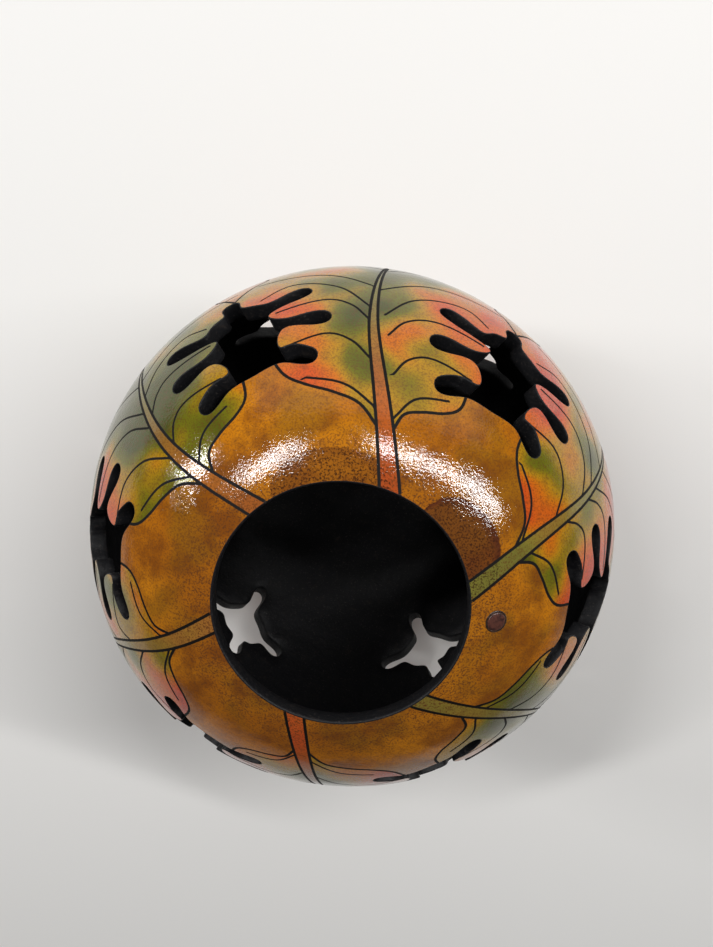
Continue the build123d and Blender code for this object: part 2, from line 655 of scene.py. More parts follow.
    def strokes(self, skin: Skin) -> list[Stroke]:
        """Draw every burned line of the ring.

        Args:
            skin: The outer skin.

        Returns:
            The lines, leaf by leaf.
        """
        made = []
        twin = np.arange(0.0, self.twin_until, self.stroke_step)
        single = np.arange(self.twin_until, self.tip_run, self.stroke_step)
        for leaf in range(self.windows.leaf_count):
            for side in (-1.0, 1.0):
                rib = np.stack([side * self.rib_width(twin), twin], axis=1)
                made.append(self.on_leaf(skin, leaf, rib, self.line_half))
                for edge in (self.shoulder_edge, self.tip_edge):
                    made.append(self.on_leaf(skin, leaf, self.edge_line(leaf, side, edge), self.line_half))
                shift = self.stray(self.vein_stray, leaf, side)
                for start, across, end in self.veins:
                    line = self.vein(start + shift, side, [(side * across, end)])
                    made.append(self.on_leaf(skin, leaf, line, self.vein_half))
            made.append(self.on_leaf(skin, leaf, np.stack([0.0 * single, single], axis=1), self.line_half))
            for edge in (self.belly_west, self.belly_east):
                line = open_curve(edge, self.stroke_step)
                azimuth = self.windows.azimuth(leaf) + line[:, 0] / skin.rho_at(line[:, 1])
                made.append(Stroke(azimuth, line[:, 1], self.line_half))
            made += self.lobe_veins(skin, leaf, True) + self.lobe_veins(skin, leaf, False)
        return made

    def beside_leaves(self, leaf: np.ndarray, across: np.ndarray, run: np.ndarray) -> np.ndarray:
        """Tell which points lie above a leaf's shoulders or past its tip.

        Args:
            leaf: The points' nearest leaves.
            across: How far they lie from those leaves' midribs.
            run: Their runs from the mouth.

        Returns:
            True for each such point.
        """
        out = np.abs(across)
        beside = np.zeros(len(run), dtype=bool)
        for number in range(self.windows.leaf_count):
            for side in (-1.0, 1.0):
                shoulder = self.edge_line(number, side, self.shoulder_edge)
                tips = self.edge_line(number, side, self.tip_edge)[::-1]
                above = run < np.interp(out, side * shoulder[:, 0], shoulder[:, 1])
                past = run > np.interp(out, side * tips[:, 0], tips[:, 1])
                here = (leaf == number) & (across * side >= 0.0)
                beside |= here & ((above & (out > self.rib_width(run))) | past)
        return beside

    def in_belly_panels(self, rho: np.ndarray, azimuth: np.ndarray, run: np.ndarray) -> np.ndarray:
        """Tell which points lie in the wavy panels between an upper and a lower window.

        Args:
            rho: The points' distances from the axis.
            azimuth: Their azimuths.
            run: Their runs from the mouth.

        Returns:
            True for each such point.
        """
        west, east = (open_curve(edge, self.stroke_step) for edge in (self.belly_west, self.belly_east))
        inside = np.zeros(len(run), dtype=bool)
        for number in range(self.windows.leaf_count):
            offset = wrapped(azimuth - self.windows.azimuth(number)) * rho
            panel = offset > np.interp(run, west[:, 1], west[:, 0])
            inside |= panel & (offset < np.interp(run, east[:, 1], east[:, 0]))
        return inside & (run > west[0, 1]) & (run < west[-1, 1])

    def paint(self, skin: Skin, azimuth: np.ndarray, run: np.ndarray) -> dict[str, np.ndarray]:
        """Say what the dye and the varnish do at points of the skin.

        Args:
            skin: The outer skin.
            azimuth: The points' azimuths.
            run: The points' runs from the mouth.

        Returns:
            For each point, whether it is leaf, how far out on the lobe or on the rib, its leaf's tone and
            stem colour, its run, the varnish's crinkle and the painted dark reflections beside the mouth.
        """
        count = self.windows.leaf_count
        rho = skin.rho_at(run)
        turns = np.array([wrapped(azimuth - self.midrib(leaf, run)) for leaf in range(count)])
        leaf = np.argmin(np.abs(turns), axis=0)
        across = turns[leaf, np.arange(len(run))] * rho
        out = np.abs(across)
        ground = self.beside_leaves(leaf, across, run) | self.in_belly_panels(rho, azimuth, run)
        return {
            "leaf": np.where(ground, 0.0, 1.0),
            "lobe": np.clip(out / (rho * math.pi / count), 0.0, 1.0),
            "rib": smooth_step(-self.line_half, self.line_half, self.rib_width(run) - out),
            "tone": np.array(self.tones)[leaf],
            "stem": np.array(self.stem_reds)[leaf],
            "run": run,
            "crinkle": self.crinkle(azimuth, run, rho),
            **self.stain(azimuth, run),
        }

    def stain(self, azimuth: np.ndarray, run: np.ndarray) -> dict[str, np.ndarray]:
        """Lay the painted dark reflections beside the mouth, as darker brown patches in the amber.

        Args:
            azimuth: Of the points, in radians.
            run: Of the points, from the mouth.

        Returns:
            How deep each point lies within a painted reflection, in millimetres, and how dark it is
            painted.
        """
        within = np.full(len(run), -self.reflection_fade)
        dark = np.zeros(len(run))
        # Each patch is a dark reflection in the varnish, painted into the colour as a darker brown.
        for middle, spread, depth, strength in self.dark_reflections:
            turn = np.abs((np.degrees(azimuth) - middle + 180.0) % 360.0 - 180.0)
            reach = depth * np.sqrt(np.clip(1.0 - (turn / spread) ** 2, 0.0, 1.0))
            inside = np.where(turn < spread, reach - run, -self.reflection_fade)
            within = np.maximum(within, np.clip(inside, -self.reflection_fade, None))
            dark = np.where(turn < spread + self.reflection_fade, strength, dark)
        return {"stain": within, "stain_dark": dark}

    def crinkle(self, azimuth: np.ndarray, run: np.ndarray, rho: np.ndarray) -> np.ndarray:
        """Give the depth of the one small crinkled dent in the varnish.

        Args:
            azimuth: The points' azimuths, in radians.
            run: Their runs from the mouth.
            rho: Their distances from the axis.

        Returns:
            From 0 round the dent to 1 within it.
        """
        aside = wrapped(azimuth - math.radians(self.crinkle_azimuth)) * rho
        away = np.hypot(aside, self.crinkle_squash * (run - self.crinkle_run))
        return smooth_step(self.crinkle_size, self.crinkle_core * self.crinkle_size, away)


FAR_FROM_BURN = 9.0
# Values for points off the outer skin. Of these only the blossom scar shows, and the last two give it its
# own dark brown, mixed as the painted dark reflections are.
BARE_VALUES = {
    "leaf": 0.0, "lobe": 0.0, "rib": 0.0, "tone": 0.0, "stem": 0.0, "run": 0.0, "crinkle": 0.0,
    "burn": FAR_FROM_BURN, "stain": 6.0, "stain_dark": 0.9,
}


@dataclass
class CarvedShell:
    """The gourd's shell: burned outer skin, rounded sawn edges, painted walls and inside.

    The skins are flat triangulations folded on to the gourd, because each burned groove and each sawn
    edge is a line of the mesh there, which subdividing and cutting a turned shape doesn't give. Flat
    points are taken from a seam down one side. Points of the mesh go by their numbers.
    """

    form: GourdForm = field(default_factory=GourdForm)
    windows: WindowSet = field(default_factory=WindowSet)
    plug: PlugSeat = field(default_factory=PlugSeat)

    # Sawn and burned
    edge_round: float = 0.4
    round_turns: tuple = (30.0, 60.0, 90.0)
    wall_shares: tuple = (0.35, 0.7)
    scar_rings: tuple = ((0.8, 0.8), (0.45, 1.0))
    groove_depth: float = 0.16
    burn_parts: int = 4

    # Mesh
    mesh_step: float = 2.3
    inside_step: float = 5.0
    row_share: float = 0.87
    row_shifts: tuple = (0.25, 0.75)
    row_least: int = 18
    end_share: float = 0.4
    rim_count: int = 300
    jitter: float = 0.16
    keep_clear: float = 0.75
    clear_share: float = 0.5
    edge_margin: float = 0.004
    seam_azimuth: float = -90.0
    merge_within: float = 1e-4
    same_within: float = 1e-6
    slope_step: float = 1e-4
    seed: int = 7

    def __post_init__(self) -> None:
        """Measure the skins, place the windows and draw the burned lines."""
        form = self.form
        self.ring = LeafRing(self.windows)
        self.outer = Skin(form, 0.0, form.rim_round)
        self.inner = Skin(form, form.wall, self.edge_round)
        self.seam = math.radians(self.seam_azimuth)
        self.saws = [self.plug.window(form)]
        for number in range(self.windows.leaf_count):
            self.saws += [self.windows.window(form, number, upper) for upper in (True, False)]
        self.strokes = self.ring.strokes(self.outer)
        self.random = np.random.default_rng(self.seed)
        self.outer_flat = np.zeros((0, 2))
        self.points: list[np.ndarray] = []
        self.faces: list[tuple[int, ...]] = []
        self.coats: list[int] = []
        self.count = 0

    def add_points(self, points: np.ndarray) -> np.ndarray:
        """Add points to the shell and give their numbers.

        Args:
            points: Points in space, one row each.

        Returns:
            Their numbers in the mesh.
        """
        self.points.append(points)
        self.count += len(points)
        return np.arange(self.count - len(points), self.count)

    def add_faces(self, faces: Sequence[Sequence[int]], coat: Coat) -> None:
        """Add faces of one finish to the shell."""
        self.faces += [tuple(int(i) for i in face) for face in faces]
        self.coats += [coat.value] * len(faces)

    def carry(self, ring: np.ndarray, rows: Sequence[np.ndarray], coat: Coat) -> np.ndarray:
        """Carry an edge of the outer skin on through rows of points, towards the inside.

        Args:
            ring: The numbers of the edge's points.
            rows: Rows of as many points in space.
            coat: The finish of the faces between them.

        Returns:
            The numbers of the last row's points.
        """
        for row in rows:
            following = self.add_points(row)
            self.add_faces(list(zip(np.roll(ring, -1), ring, following, np.roll(following, -1))), coat)
            ring = following
        return ring

    def close_pole(self, ring: np.ndarray, height: float, coat: Coat) -> None:
        """Close a round edge at the axis with a fan of triangles."""
        pole = self.add_points(np.array([[0.0, 0.0, height]]))[0]
        self.add_faces([(b, a, pole) for a, b in zip(ring, np.roll(ring, -1))], coat)

    def on_gourd(self, flat: np.ndarray) -> np.ndarray:
        """Turn flat points from the seam to the gourd's own azimuths."""
        return flat + np.array([self.seam, 0.0])

    def from_seam(self, skin: Skin, solid: np.ndarray) -> np.ndarray:
        """Lay points of a skin out as flat points from the seam."""
        azimuth = np.arctan2(solid[:, 1], solid[:, 0]) - self.seam
        return skin.flat(azimuth % FULL_TURN, skin.run_of(solid))

    def scatter(self, skin: Skin, step: float, features: np.ndarray, clear: float) -> np.ndarray:
        """Scatter points evenly over a skin, clear of its features.

        Args:
            skin: The skin to cover.
            step: Distance between points.
            features: Points in space that the scatter keeps away from.
            clear: How far it keeps away.

        Returns:
            Flat points from the seam.
        """
        tree = search_tree(features)
        rows = []
        last = skin.run[-1] - self.end_share * step
        for row, run in enumerate(np.arange(step, last, step * self.row_share)):
            count = max(self.row_least, round(FULL_TURN * float(skin.rho_at(np.array(run))) / step))
            turns = (np.arange(count) + self.row_shifts[row % 2]) / count
            turns = turns + self.random.uniform(-self.jitter, self.jitter, count) / count
            runs = run + self.random.uniform(-self.jitter, self.jitter, count) * step
            rows.append(skin.flat(turns * FULL_TURN, runs))
        flat = np.vstack(rows)
        flat = flat[(flat[:, 0] > self.edge_margin) & (flat[:, 0] < FULL_TURN - self.edge_margin)]
        far = [tree.find(point)[2] > clear for point in skin.solid(self.on_gourd(flat))]
        return flat[np.array(far)]

    def triangulate(
        self,
        skin: Skin,
        lines: Sequence[np.ndarray],
        holes: Sequence[np.ndarray],
        rim: np.ndarray,
        step: float,
    ) -> tuple[np.ndarray, np.ndarray, list[list[int]]]:
        """Cover a skin with triangles that follow its lines and leave its holes open.

        Args:
            skin: The skin to cover.
            lines: Open lines, as flat points from the seam, which may run past a full turn.
            holes: Closed lines, as flat points from the seam.
            rim: Azimuths from the seam of the points on the mouth's edge and on the base's edge.
            step: Distance between the points in between.

        Returns:
            Flat points from the seam, triangles, and for each hole the numbers that its points got.
        """
        points: list[tuple[float, float]] = []
        pieces = [piece for line in lines for piece in self.split_at_seam(line)]
        runs = np.arange(step, skin.run[-1] - self.end_share * step, step)
        seam = set(-np.interp(runs, skin.run, skin.stretch))
        for piece in pieces:
            seam |= {v for u, v in (piece[0], piece[-1]) if u in (0.0, FULL_TURN)}

        def put(flat: Sequence[Sequence[float]]) -> list[int]:
            """Add flat points and give their numbers."""
            points.extend((float(u), float(v)) for u, v in flat)
            return list(range(len(points) - len(flat), len(points)))

        for u in (0.0, FULL_TURN):
            put([(u, v) for v in sorted(seam)])
        for v in (0.0, -skin.stretch[-1]):
            put([(u, v) for u in (*rim, FULL_TURN)])
        borders = [put(hole) for hole in holes]
        faces = [b if self.signed_area(hole) > 0.0 else b[::-1] for b, hole in zip(borders, holes)]
        edges: list[tuple[int, int]] = []
        for piece in pieces:
            numbers = put(piece)
            edges += list(zip(numbers, numbers[1:]))
        solid = skin.solid(self.on_gourd(np.array(points)))
        clear = self.keep_clear if lines else self.clear_share * step
        scattered = self.scatter(skin, step, solid, clear)
        everything = np.vstack([np.array(points), scattered])
        LOG.info("triangulating %d points, %d on lines", len(everything), len(points))
        found, _, triangles, origins, _, owners = delaunay_2d_cdt(
            [Vector(point) for point in everything], edges, faces, 0, self.merge_within, True
        )
        flat = np.array([tuple(point) for point in found])
        kept = np.array([triangle for triangle, owner in zip(triangles, owners) if not owner])
        same = self.join_seam(flat)
        number_of = {i: number for number, origin in enumerate(origins) for i in origin}
        rings = [[int(same[number_of[i]]) for i in border] for border in borders]
        return flat, same[kept], rings

    def join_seam(self, flat: np.ndarray) -> np.ndarray:
        """Match the points on the two sides of the seam.

        Args:
            flat: Flat points from the seam.

        Returns:
            For each point its own number, or on the far side that of its match on the near side.
        """
        west = np.where(flat[:, 0] < self.same_within)[0]
        east = np.where(flat[:, 0] > FULL_TURN - self.same_within)[0]
        if len(west) != len(east):
            raise RuntimeError(f"the seam has {len(west)} points on one side and {len(east)} on the other")
        same = np.arange(len(flat))
        same[east[np.argsort(flat[east, 1])]] = west[np.argsort(flat[west, 1])]
        return same

    @staticmethod
    def split_at_seam(line: np.ndarray) -> list[list[tuple[float, float]]]:
        """Cut a flat line into pieces that each stay within one full turn from the seam.

        Args:
            line: Flat points, which may run past a full turn.

        Returns:
            The pieces, in order.
        """
        pieces: list[list[tuple[float, float]]] = [[]]
        for i, (u, v) in enumerate(line):
            turn = math.floor(u / FULL_TURN)
            if i:
                before, height = line[i - 1]
                passed = math.floor(before / FULL_TURN)
                if passed != turn:
                    border = FULL_TURN * max(passed, turn)
                    cross = float(height + (border - before) / (u - before) * (v - height))
                    leave, enter = (FULL_TURN, 0.0) if turn > passed else (0.0, FULL_TURN)
                    pieces[-1].append((leave, cross))
                    pieces.append([(enter, cross)])
            pieces[-1].append((float(u - turn * FULL_TURN), float(v)))
        return pieces

    @staticmethod
    def border_loops(triangles: np.ndarray) -> list[np.ndarray]:
        """Follow the open edges of a triangulation into loops.

        Args:
            triangles: Point numbers, one row a triangle.

        Returns:
            The point numbers of each loop, in order.
        """
        sides = np.vstack([triangles[:, [0, 1]], triangles[:, [1, 2]], triangles[:, [2, 0]]])
        there = {(int(a), int(b)) for a, b in sides}
        following = {a: b for a, b in there if (b, a) not in there}
        loops = []
        while following:
            start, here = following.popitem()
            loop = [start]
            while here != start:
                loop.append(here)
                here = following.pop(here)
            loops.append(np.array(loop))
        return loops

    @staticmethod
    def signed_area(outline: np.ndarray) -> float:
        """Give the area inside a flat outline, negative if it runs clockwise."""
        x, y = outline[:, 0], outline[:, 1]
        return 0.5 * float(np.sum(x * np.roll(y, -1) - y * np.roll(x, -1)))

    @staticmethod
    def outline_normals(outline: np.ndarray) -> np.ndarray:
        """Give the outward directions of a closed anticlockwise outline in its plane.

        Args:
            outline: Points round the outline, one row each.

        Returns:
            A direction for each point.
        """
        along = np.roll(outline, -1, axis=0) - np.roll(outline, 1, axis=0)
        along = along / np.linalg.norm(along, axis=1)[:, None]
        return np.stack([along[:, 1], -along[:, 0]], axis=1)

    def normals(self, flat: np.ndarray) -> np.ndarray:
        """Give the outer skin's outward directions at flat points.

        Args:
            flat: Flat points with the gourd's own azimuths.

        Returns:
            A direction in space for each point.
        """
        step = np.array([0.0, self.slope_step])
        down = self.outer.solid(flat - step) - self.outer.solid(flat + step)
        east = np.stack([-np.sin(flat[:, 0]), np.cos(flat[:, 0]), np.zeros(len(flat))], axis=1)
        normal = np.cross(down, east)
        return normal / np.linalg.norm(normal, axis=1)[:, None]

    def stroke_rows(self, stroke: Stroke) -> list[np.ndarray]:
        """Give a burned line's middle and its two edges.

        Args:
            stroke: The burned line.

        Returns:
            Three rows of flat points from the seam, kept off the mouth and the base.
        """
        middle = self.outer.flat(stroke.azimuth - self.seam, stroke.run)
        along = np.gradient(middle, axis=0)
        along = along / np.linalg.norm(along, axis=1)[:, None]
        normal = np.stack([-along[:, 1], along[:, 0]], axis=1)
        aside = normal * (stroke.half_width / self.outer.rho_at(stroke.run))[:, None]
        low = self.edge_margin - self.outer.stretch[-1]
        rows = (middle, middle + aside, middle - aside)
        return [row[(row[:, 1] < -self.edge_margin) & (row[:, 1] > low)] for row in rows]

    def burn(self, points: np.ndarray) -> np.ndarray:
        """Measure how far points are from the nearest burned line.

        Args:
            points: Points in space, one row each.

        Returns:
            Distances in half widths of that line, up to a limit.
        """
        samples, widths = [], []
        for stroke in self.strokes:
            flat = self.outer.flat(stroke.azimuth, stroke.run)
            place = np.arange(len(flat))
            fine = np.linspace(0.0, place[-1], self.burn_parts * place[-1] + 1)
            dense = np.stack([np.interp(fine, place, column) for column in flat.T], axis=1)
            samples.append(self.outer.solid(dense))
            widths.append(np.full(len(dense), stroke.half_width))
        half = np.concatenate(widths)
        tree = search_tree(np.vstack(samples))
        nearest = [tree.find(point) for point in points]
        return np.array([min(distance / half[i], FAR_FROM_BURN) for _, i, distance in nearest])

    def cut_outer(self) -> tuple[np.ndarray, dict[str, np.ndarray], list[np.ndarray]]:
        """Make the outer skin with its grooves and holes.

        Returns:
            The numbers of its points, their values for the finish, and the loops round its holes.
        """
        holes = []
        for saw in self.saws:
            outline = saw.outline + self.outline_normals(saw.outline) * self.edge_round
            holes.append(self.from_seam(self.outer, self.outer.met_along(saw.lay(outline), saw.outward)))
        lines = [row for stroke in self.strokes for row in self.stroke_rows(stroke) if len(row) > 1]
        rim = np.arange(self.rim_count) / self.rim_count * FULL_TURN
        flat, triangles, _ = self.triangulate(self.outer, lines, holes, rim, self.mesh_step)
        self.outer_flat = self.on_gourd(flat)
        solid = self.outer.solid(self.outer_flat)
        burn = self.burn(solid)
        groove = self.groove_depth * np.clip(1.0 - burn, 0.0, 1.0)
        numbers = self.add_points(solid - self.normals(self.outer_flat) * groove[:, None])
        self.add_faces(triangles, Coat.VARNISH)
        values = self.ring.paint(self.outer, self.outer_flat[:, 0], self.outer.run_of(solid))
        values["burn"] = burn
        return numbers, values, self.border_loops(triangles)

    def saw_at(self, loop: np.ndarray) -> SawnWindow:
        """Find the window that a loop of the outer skin's points goes round.

        Args:
            loop: The numbers of the loop's points.

        Returns:
            The window whose middle is nearest the loop's.
        """
        middle = self.outer.solid(self.outer_flat[loop]).mean(axis=0)

        def away(saw: SawnWindow) -> float:
            """Give how far a window's middle on the outer skin is from the loop's."""
            foot = self.outer.met_along(saw.lay(saw.outline.mean(axis=0)[None, :]), saw.outward)[0]
            return float(np.linalg.norm(foot - middle))

        return min(self.saws, key=away)

    def cut_wall(self, loop: np.ndarray) -> np.ndarray:
        """Round a window's outer edge and carry its wall through to the inside.

        Args:
            loop: The numbers of the outer skin's points round the window.

        Returns:
            The numbers of the points on the inner skin round the window.
        """
        saw = self.saw_at(loop)
        flat = saw.read(self.outer.solid(self.outer_flat[loop]))
        normals = self.outline_normals(flat) * math.copysign(self.edge_round, self.signed_area(flat))
        rows = []
        for turn in np.radians(self.round_turns):
            edge = self.outer.met_along(saw.lay(flat - normals * math.sin(turn)), saw.outward)
            rows.append(edge - saw.outward * self.edge_round * (1.0 - math.cos(turn)))
        wall = saw.lay(flat - normals)
        outside = self.outer.met_along(wall, saw.outward)
        inside = self.inner.met_along(wall, saw.outward)
        rows += [outside + (inside - outside) * share for share in self.wall_shares]
        rows += [inside + saw.outward * self.edge_round, self.inner.met_along(saw.lay(flat), saw.outward)]
        return self.carry(loop, rows, Coat.PAINT)

    def turned_rows(self, loop: np.ndarray, places: Sequence[tuple[float, float]]) -> list[np.ndarray]:
        """Give rings of points, with a loop's azimuths, at distances from the axis and heights.

        Args:
            loop: The numbers of the loop's points.
            places: Each ring's distance and height.

        Returns:
            A row of points in space for each place.
        """
        azimuth = self.outer_flat[loop, 0]
        level = np.ones(len(loop))
        return [np.stack([r * np.cos(azimuth), r * np.sin(azimuth), h * level], axis=1) for r, h in places]

    def cut_rim(self, loop: np.ndarray) -> np.ndarray:
        """Round the mouth's edge and carry its wall down to the inside.

        Args:
            loop: The numbers of the outer skin's points round the mouth.

        Returns:
            The numbers of the points on the inner skin round the mouth.
        """
        radius = self.form.rim_round
        mouth = self.form.mouth_radius
        start, top = self.outer.rho[0], self.outer.height[0]
        foot = (self.inner.rho[0], self.inner.height[0])
        low = foot[1] + self.edge_round
        turns = np.radians(self.round_turns)
        places = [(start - radius * math.sin(t), top - radius * (1.0 - math.cos(t))) for t in turns]
        places += [(mouth, 0.5 * (top + low)), (mouth, low), foot]
        return self.carry(loop, self.turned_rows(loop, places), Coat.PAINT)

    def cut_scar(self, loop: np.ndarray) -> None:
        """Sink the blossom scar into the middle of the base.

        Args:
            loop: The numbers of the outer skin's points round the scar.
        """
        radius, depth = self.form.scar_radius, self.form.scar_depth
        places = [(across * radius, down * depth) for across, down in self.scar_rings]
        self.close_pole(self.carry(loop, self.turned_rows(loop, places), Coat.VARNISH), depth, Coat.VARNISH)

    def cut_inner(self, rings: Sequence[np.ndarray], rim: np.ndarray) -> None:
        """Cover the inside between the mouth, the windows and the floor.

        Args:
            rings: The numbers of the points round each window.
            rim: The numbers of the points round the mouth.
        """
        points = np.vstack(self.points)
        holes = [self.from_seam(self.inner, points[ring]) for ring in rings]
        turns = self.from_seam(self.inner, points[rim])[:, 0]
        turns[turns > FULL_TURN - self.same_within] = 0.0
        flat, triangles, owners = self.triangulate(self.inner, [], holes, np.sort(turns), self.inside_step)
        numbers = np.full(len(flat), -1)
        for ring, owner in zip(rings, owners):
            numbers[owner] = ring
        top = np.where(flat[:, 1] > -self.same_within)[0]
        numbers[top[np.argsort(flat[top, 0])][: len(rim)]] = rim[np.argsort(turns)]
        used = np.unique(triangles)
        fresh = used[numbers[used] < 0]
        numbers[fresh] = self.add_points(self.inner.solid(self.on_gourd(flat[fresh])))
        triangles = numbers[triangles]
        self.add_faces(triangles[:, ::-1], Coat.PAINT)
        points = np.vstack(self.points)
        loops = self.border_loops(triangles)
        floor = min(loops, key=lambda loop: np.hypot(points[loop, 0], points[loop, 1]).max())
        self.close_pole(floor[::-1], self.form.wall, Coat.PAINT)

    def build(self, varnish: bpy.types.Material, paint: bpy.types.Material) -> bpy.types.Object:
        """Make the shell's mesh and dress it.

        Args:
            varnish: Finish of the outer skin.
            paint: Finish of the inside and of the sawn walls.

        Returns:
            The shell's object.
        """
        skin_points, values, loops = self.cut_outer()
        rings = []
        rim = np.zeros(0, dtype=int)
        for loop in loops:
            depth = self.outer_flat[loop, 1]
            if depth.min() > -self.same_within:
                rim = self.cut_rim(loop)
            elif depth.max() < self.same_within - self.outer.stretch[-1]:
                self.cut_scar(loop)
            else:
                rings.append(self.cut_wall(loop))
        self.cut_inner(rings, rim)

        points = self.form.grown(np.vstack(self.points)) * MM
        mesh = bpy.data.meshes.new("carved_shell")
        mesh.from_pydata(points.tolist(), [], self.faces)
        mesh.polygons.foreach_set("material_index", self.coats)
        mesh.polygons.foreach_set("use_smooth", [True] * len(self.faces))
        for name, bare in BARE_VALUES.items():
            column = np.full(self.count, bare, dtype=np.float32)
            column[skin_points] = values[name]
            mesh.attributes.new(name, "FLOAT", "POINT").data.foreach_set("value", column)
        mesh.materials.append(varnish)
        mesh.materials.append(paint)
        mesh.validate()
        mesh.update()
        normals = np.zeros((self.count, 3))
        normals[skin_points] = self.normals(self.outer_flat)
        mesh.normals_split_custom_set_from_vertices(normals.tolist())
        shell = bpy.data.objects.new("carved_shell", mesh)
        bpy.context.scene.collection.objects.link(shell)
        return shell


Wire = Union["Sock", float, int, Sequence[float]]


class Sock:
    """A shader socket that takes Python's arithmetic."""

    def __init__(self, graph: "Graph", socket: bpy.types.NodeSocket) -> None:
        """Hold a socket of a graph."""
        self.graph = graph
        self.socket = socket

    def _math(self, operation: str, first: Wire, second: Wire) -> "Sock":
        """Add a Math node."""
        return self.graph.node("ShaderNodeMath", {"operation": operation}, {0: first, 1: second})

    def __add__(self, other: Wire) -> "Sock":
        """Add a value."""
        return self._math("ADD", self, other)

    def __radd__(self, other: Wire) -> "Sock":
        """Be added to a value."""
        return self._math("ADD", other, self)

    def __sub__(self, other: Wire) -> "Sock":
        """Take a value away."""
        return self._math("SUBTRACT", self, other)

    def __rsub__(self, other: Wire) -> "Sock":
        """Be taken from a value."""
        return self._math("SUBTRACT", other, self)

    def __mul__(self, other: Wire) -> "Sock":
        """Multiply by a value."""
        return self._math("MULTIPLY", self, other)

    def __rmul__(self, other: Wire) -> "Sock":
        """Multiply a value."""
        return self._math("MULTIPLY", other, self)

    def step(self, low: float, high: float) -> "Sock":
        """Rise smoothly from 0 at low to 1 at high, or fall where high is the lower.

        Args:
            low: Where the step is 0.
            high: Where the step is 1.

        Returns:
            The step.
        """
        ends = (0.0, 1.0) if low < high else (1.0, 0.0)
        span = {0: self, 1: min(low, high), 2: max(low, high), 3: ends[0], 4: ends[1]}
        return self.graph.node("ShaderNodeMapRange", {"interpolation_type": "SMOOTHSTEP"}, span)


class Graph:
    """A material's node tree, with one method that makes nodes."""

    def __init__(self, name: str) -> None:
        """Start an empty material with a Principled shader on its output.

        Args:
            name: The material's name.
        """
        self.material = bpy.data.materials.new(name)
        self.material.use_nodes = True
        self.tree = self.material.node_tree
        self.tree.nodes.clear()
        self.shader = self.tree.nodes.new("ShaderNodeBsdfPrincipled")
        self.output = self.tree.nodes.new("ShaderNodeOutputMaterial")
        self.tree.links.new(self.shader.outputs["BSDF"], self.output.inputs["Surface"])

    def node(
        self,
        kind: str,
        settings: Optional[dict[str, Any]] = None,
        sockets: Optional[dict[Any, Wire]] = None,
        output: Union[int, str] = 0,
    ) -> Sock:
        """Make one node.

        Args:
            kind: The node's type.
            settings: Its own settings, set first. A ramp's stops are (place, colour) pairs.
            sockets: Values or links for its sockets, by name or number.
            output: Which output to give back.

        Returns:
            The output, ready for arithmetic.
        """
        made = self.tree.nodes.new(kind)
        for name, value in (settings or {}).items():
            if name == "stops":
                ramp = made.color_ramp
                while len(ramp.elements) < len(value):
                    ramp.elements.new(0.5)
                for element, (place, colour) in zip(ramp.elements, value):
                    element.position = place
                    element.color = (*colour, 1.0)
            else:
                setattr(made, name, value)
        self.wire(made, sockets or {})
        return Sock(self, made.outputs[output])

    def wire(self, node: bpy.types.Node, sockets: dict[Any, Wire]) -> None:
        """Set or link a node's sockets, by name or number.

        Args:
            node: The node.
            sockets: A value or a link for each socket.
        """
        for key, value in sockets.items():
            if isinstance(value, Sock):
                self.tree.links.new(value.socket, node.inputs[key])
            else:
                node.inputs[key].default_value = value

    def cover(self, share: Sock, sockets: dict[str, Wire]) -> None:
        """Lay a second Principled shader, with its sockets, over the first by a share.

        Args:
            share: How much of the second shows.
            sockets: The second's values and links.
        """
        over = self.node("ShaderNodeBsdfPrincipled", None, sockets)
        under = Sock(self, self.shader.outputs["BSDF"])
        mixed = self.node("ShaderNodeMixShader", None, {0: share, 1: under, 2: over})
        self.wire(self.output, {"Surface": mixed})

    def finish(self, sockets: dict[str, Wire]) -> bpy.types.Material:
        """Set or link the Principled shader's sockets and give the material."""
        self.wire(self.shader, sockets)
        return self.material

    def place(self) -> Sock:
        """Give Object coordinates."""
        return self.node("ShaderNodeTexCoord", output="Object")

    def attribute(self, name: str) -> Sock:
        """Give a value of the mesh."""
        return self.node("ShaderNodeAttribute", {"attribute_name": name}, output="Fac")

    def noise(self, grain_mm: float, detail: float, roughness: float, distortion: float = 0.0) -> Sock:
        """Give noise with blotches of about one size.

        Args:
            grain_mm: Their size in millimetres.
            detail: How many finer layers lie on them.
            roughness: How much each finer layer counts.
            distortion: How far the blotches are drawn out of shape.

        Returns:
            The noise, mostly between 0.3 and 0.7.
        """
        sockets = {
            "Vector": self.place(),
            "Scale": 1.0 / (grain_mm * MM),
            "Detail": detail,
            "Roughness": roughness,
            "Distortion": distortion,
        }
        return self.node("ShaderNodeTexNoise", {"noise_dimensions": "3D"}, sockets, "Fac")

    def mix(self, share: Wire, first: Wire, second: Wire) -> Sock:
        """Mix two colours, from the first at 0 to the second at 1.

        Args:
            share: How much of the second shows.
            first: A colour.
            second: Another colour.

        Returns:
            The mixed colour.
        """
        colours = [c if isinstance(c, Sock) else (*c, 1.0) for c in (first, second)]
        settings = {"data_type": "RGBA", "blend_type": "MIX", "clamp_factor": True}
        return self.node("ShaderNodeMix", settings, {0: share, 6: colours[0], 7: colours[1]}, 2)

    def bump(self, height: Sock, strength: float, distance_mm: float, under: Optional[Sock] = None) -> Sock:
        """Raise the surface by a height in the shading alone.

        Args:
            height: The height, from 0 to 1.
            strength: How much of it counts.
            distance_mm: How high 1 stands, in millimetres.
            under: A bump that this one lies on.

        Returns:
            The normal.
        """
        sockets: dict[Any, Wire] = {"Height": height, "Strength": strength, "Distance": distance_mm * MM}
        if under is not None:
            sockets["Normal"] = under
        return self.node("ShaderNodeBump", None, sockets)


